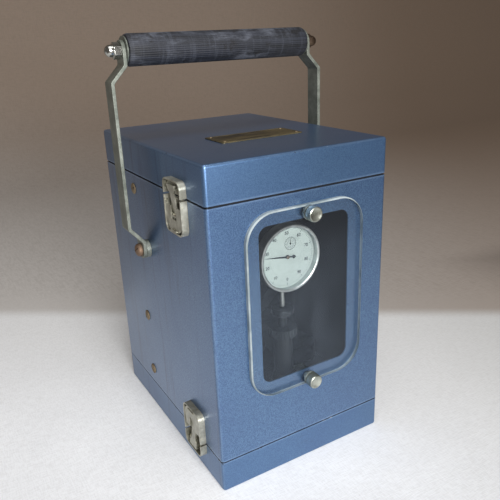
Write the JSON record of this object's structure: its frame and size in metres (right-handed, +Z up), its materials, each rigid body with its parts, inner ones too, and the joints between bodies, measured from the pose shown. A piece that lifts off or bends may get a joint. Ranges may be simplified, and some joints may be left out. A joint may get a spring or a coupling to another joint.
{
  "type": "concrete compression tester",
  "caption": "Boxed load-measuring device for concrete tests: a load ring between platens, read by a dial gauge behind a window, in a latched carrying case.",
  "frame": {"origin": "centre of the case's underside, on the surface that it stands on", "axes": "+Z up; -Y out of the window; +X to the right as seen from the window side"},
  "size_m": [0.203, 0.2312, 0.3592],
  "materials": {
    "blue_paint": "metallic hammer paint",
    "frame_steel": "blackened",
    "tool_steel": "ground",
    "black_screws": "black oxide",
    "brass": "tarnished",
    "latch_nickel": "dull nickel",
    "strap_plating": "dull plating",
    "chrome": "polished",
    "gauge_body": "black",
    "dial_white": "matt",
    "pointer_black": "matt",
    "clear": "clear plastic",
    "crystal": "clear",
    "grip_plastic": "fluted, worn",
    "pad_rubber": "matt"
  },
  "bodies": {
    "base": {"base_tray": "blue_paint", "base_pad": "pad_rubber", "base_latch_keepers": "latch_nickel"},
    "case": {"case_shell": "blue_paint", "upper_locating_frame": "frame_steel", "lower_locating_frame": "frame_steel", "side_rails": "frame_steel", "side_rail_screws": "brass", "lower_platen": "tool_steel", "lower_load_button": "tool_steel", "load_ring": "tool_steel", "upper_platen": "tool_steel", "button_retainer": "tool_steel", "gauge_bracket": "frame_steel", "anvil_arm": "frame_steel", "arm_screws": "black_screws", "gauge_case": "gauge_body", "gauge_back": "gauge_body", "gauge_lug_screw": "black_screws", "sub_dial": "dial_white", "thumb_screw_bushes": "frame_steel", "latch_plates": "latch_nickel", "latch_pivots": "latch_nickel", "handle_pivot_bolts": "brass", "handle_pivot_washers": "strap_plating", "handle_pivot_nuts": "frame_steel"},
    "load_button": {"upper_load_button": "tool_steel"},
    "anvil": {"anvil_screw": "chrome"},
    "lock_nut": {"anvil_lock_nut": "chrome"},
    "bezel": {"gauge_bezel": "chrome", "gauge_crystal": "crystal", "gauge_dial": "dial_white"},
    "spindle": {"gauge_spindle": "chrome", "contact_point": "chrome"},
    "pointer": {"gauge_pointer": "pointer_black"},
    "counter": {"counter_pointer": "pointer_black"},
    "cover": {"window_cover": "clear"},
    "upper_thumb": {"upper_thumb_screw": "chrome"},
    "lower_thumb": {"lower_thumb_screw": "chrome"},
    "lid": {"lid_shell": "blue_paint", "name_plate": "brass", "lid_latch_keepers": "latch_nickel"},
    "handle": {"left_strap": "strap_plating", "right_strap": "strap_plating", "handle_rod": "strap_plating", "grip_washers": "strap_plating", "acorn_nuts": "chrome"},
    "grip": {"handle_grip": "grip_plastic"},
    "left_lid_lever": {"left_lid_lever": "latch_nickel"},
    "left_lid_link": {"left_lid_link": "latch_nickel"},
    "right_lid_lever": {"right_lid_lever": "latch_nickel"},
    "right_lid_link": {"right_lid_link": "latch_nickel"},
    "left_base_lever": {"left_base_lever": "latch_nickel"},
    "left_base_link": {"left_base_link": "latch_nickel"},
    "right_base_lever": {"right_base_lever": "latch_nickel"},
    "right_base_link": {"right_base_link": "latch_nickel"}
  },
  "joints": [
    {"name": "case_lift", "type": "slide", "parent": "base", "child": "case", "axis": [0, 0, 1], "range_m": [0, 0.016]},
    {"name": "lid_lift", "type": "slide", "parent": "case", "child": "lid", "axis": [0, 0, 1], "range_m": [0, 0.016]},
    {"name": "handle_swing", "type": "hinge", "parent": "case", "child": "handle", "pos_m": [0, 0.013, 0.18], "axis": [-1, 0, 0], "range_deg": [-115, 138]},
    {"name": "grip_spin", "type": "hinge", "parent": "handle", "child": "grip", "pos_m": [0, 0.013, 0.3466], "axis": [1, 0, 0], "continuous": true},
    {"name": "cover_pull", "type": "slide", "parent": "case", "child": "cover", "axis": [0, -1, 0], "range_m": [0, 0.03]},
    {"name": "upper_thumb_turn", "type": "hinge", "parent": "cover", "child": "upper_thumb", "pos_m": [0.0015, -0.115, 0.22745], "axis": [0, -1, 0], "continuous": true},
    {"name": "lower_thumb_turn", "type": "hinge", "parent": "cover", "child": "lower_thumb", "pos_m": [0.0015, -0.115, 0.08295], "axis": [0, -1, 0], "continuous": true},
    {"name": "bezel_turn", "type": "hinge", "parent": "case", "child": "bezel", "pos_m": [0, -0.09, 0.1828], "axis": [0, -1, 0], "continuous": true},
    {"name": "spindle_travel", "type": "slide", "parent": "case", "child": "spindle", "axis": [0, 0, 1], "range_m": [0, 0.006], "stiffness_N_per_m": 100, "springref_m": -0.006},
    {"name": "pointer_turn", "type": "hinge", "parent": "case", "child": "pointer", "pos_m": [0, -0.09, 0.1828], "axis": [0, 1, 0], "range_deg": [0, 2165]},
    {"name": "counter_turn", "type": "hinge", "parent": "case", "child": "counter", "pos_m": [0.0034, -0.09, 0.1936], "axis": [0, -1, 0], "range_deg": [0, 217]},
    {"name": "anvil_turn", "type": "hinge", "parent": "case", "child": "anvil", "pos_m": [0, -0.076, 0.12], "axis": [0, 0, 1], "continuous": true},
    {"name": "lock_nut_turn", "type": "hinge", "parent": "case", "child": "lock_nut", "pos_m": [0, -0.076, 0.112], "axis": [0, 0, 1], "continuous": true},
    {"name": "button_tilt", "type": "hinge", "parent": "case", "child": "load_button", "pos_m": [0, 0.035, 0.258], "axis": [1, 0, 0], "range_deg": [-2, 2]},
    {"name": "left_lid_lever_turn", "type": "hinge", "parent": "case", "child": "left_lid_lever", "pos_m": [-0.0859, -0.064, 0.238], "axis": [0, 1, 0], "range_deg": [0, 86]},
    {"name": "left_lid_link_turn", "type": "hinge", "parent": "left_lid_lever", "child": "left_lid_link", "pos_m": [-0.0849, -0.064, 0.2285], "axis": [0, -1, 0], "range_deg": [0, 111]},
    {"name": "right_lid_lever_turn", "type": "hinge", "parent": "case", "child": "right_lid_lever", "pos_m": [0.0859, -0.064, 0.238], "axis": [0, -1, 0], "range_deg": [0, 86]},
    {"name": "right_lid_link_turn", "type": "hinge", "parent": "right_lid_lever", "child": "right_lid_link", "pos_m": [0.0849, -0.064, 0.2285], "axis": [0, 1, 0], "range_deg": [0, 111]},
    {"name": "left_base_lever_turn", "type": "hinge", "parent": "case", "child": "left_base_lever", "pos_m": [-0.0859, -0.064, 0.035], "axis": [0, -1, 0], "range_deg": [0, 86]},
    {"name": "left_base_link_turn", "type": "hinge", "parent": "left_base_lever", "child": "left_base_link", "pos_m": [-0.0849, -0.064, 0.0445], "axis": [0, 1, 0], "range_deg": [0, 111]},
    {"name": "right_base_lever_turn", "type": "hinge", "parent": "case", "child": "right_base_lever", "pos_m": [0.0859, -0.064, 0.035], "axis": [0, 1, 0], "range_deg": [0, 86]},
    {"name": "right_base_link_turn", "type": "hinge", "parent": "right_base_lever", "child": "right_base_link", "pos_m": [0.0849, -0.064, 0.0445], "axis": [0, -1, 0], "range_deg": [0, 111]}
  ],
  "couplings": [
    {"joint": "pointer_turn", "follows": "spindle_travel", "rad_per_m": 6283.2},
    {"joint": "counter_turn", "follows": "spindle_travel", "rad_per_m": 628.32},
    {"joint": "left_lid_lever_turn", "follows": "lid_lift", "rad_per_m": 92.72},
    {"joint": "left_lid_link_turn", "follows": "lid_lift", "rad_per_m": 119.99},
    {"joint": "right_lid_lever_turn", "follows": "lid_lift", "rad_per_m": 92.72},
    {"joint": "right_lid_link_turn", "follows": "lid_lift", "rad_per_m": 119.99},
    {"joint": "left_base_lever_turn", "follows": "case_lift", "rad_per_m": 92.72},
    {"joint": "left_base_link_turn", "follows": "case_lift", "rad_per_m": 119.99},
    {"joint": "right_base_lever_turn", "follows": "case_lift", "rad_per_m": 92.72},
    {"joint": "right_base_link_turn", "follows": "case_lift", "rad_per_m": 119.99}
  ]
}
